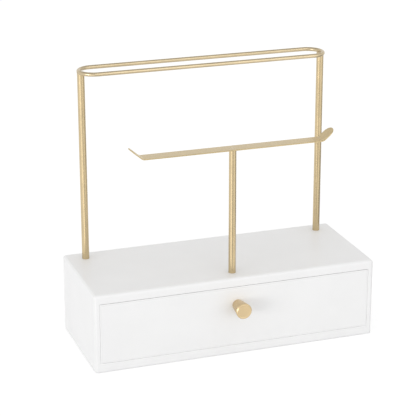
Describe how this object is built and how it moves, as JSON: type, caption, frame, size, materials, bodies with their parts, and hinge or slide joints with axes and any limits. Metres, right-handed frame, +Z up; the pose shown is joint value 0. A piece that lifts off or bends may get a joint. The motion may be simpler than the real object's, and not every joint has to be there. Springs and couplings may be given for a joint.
{
  "type": "hair accessory organizer",
  "caption": "Low boxed case with an inset drawer and knob, carrying a post-mounted wire ring for headbands and a flat bar with turned-up ends for hair ties.",
  "frame": {"origin": "centre of the case's base face", "axes": "+X to the right along the drawer front, +Y to the back, +Z up"},
  "size_m": [0.32, 0.1513, 0.3022],
  "materials": {
    "case_paint": "satin white paint on fibreboard",
    "dowel_wood": "bare beech",
    "gold_metal": "satin champagne gold",
    "steel": "bright zinc"
  },
  "bodies": {
    "case": {"top_panel": "case_paint", "bottom_panel": "case_paint", "left_side_panel": "case_paint", "right_side_panel": "case_paint", "back_panel": "case_paint", "case_dowels": "dowel_wood", "back_brads": "steel", "left_post": "gold_metal", "right_post": "gold_metal", "top_ring": "gold_metal", "centre_post": "gold_metal", "accessory_bar": "gold_metal", "post_screws": "steel", "post_washers": "steel"},
    "drawer": {"drawer_front": "case_paint", "drawer_left_side": "case_paint", "drawer_right_side": "case_paint", "drawer_back": "case_paint", "drawer_bottom": "case_paint", "drawer_brads": "steel", "knob": "gold_metal", "knob_screw": "steel", "knob_washer": "steel"}
  },
  "joints": [
    {"name": "drawer_slide", "type": "slide", "parent": "case", "child": "drawer", "axis": [0, -1, 0], "range_m": [0, 0.09]}
  ]
}
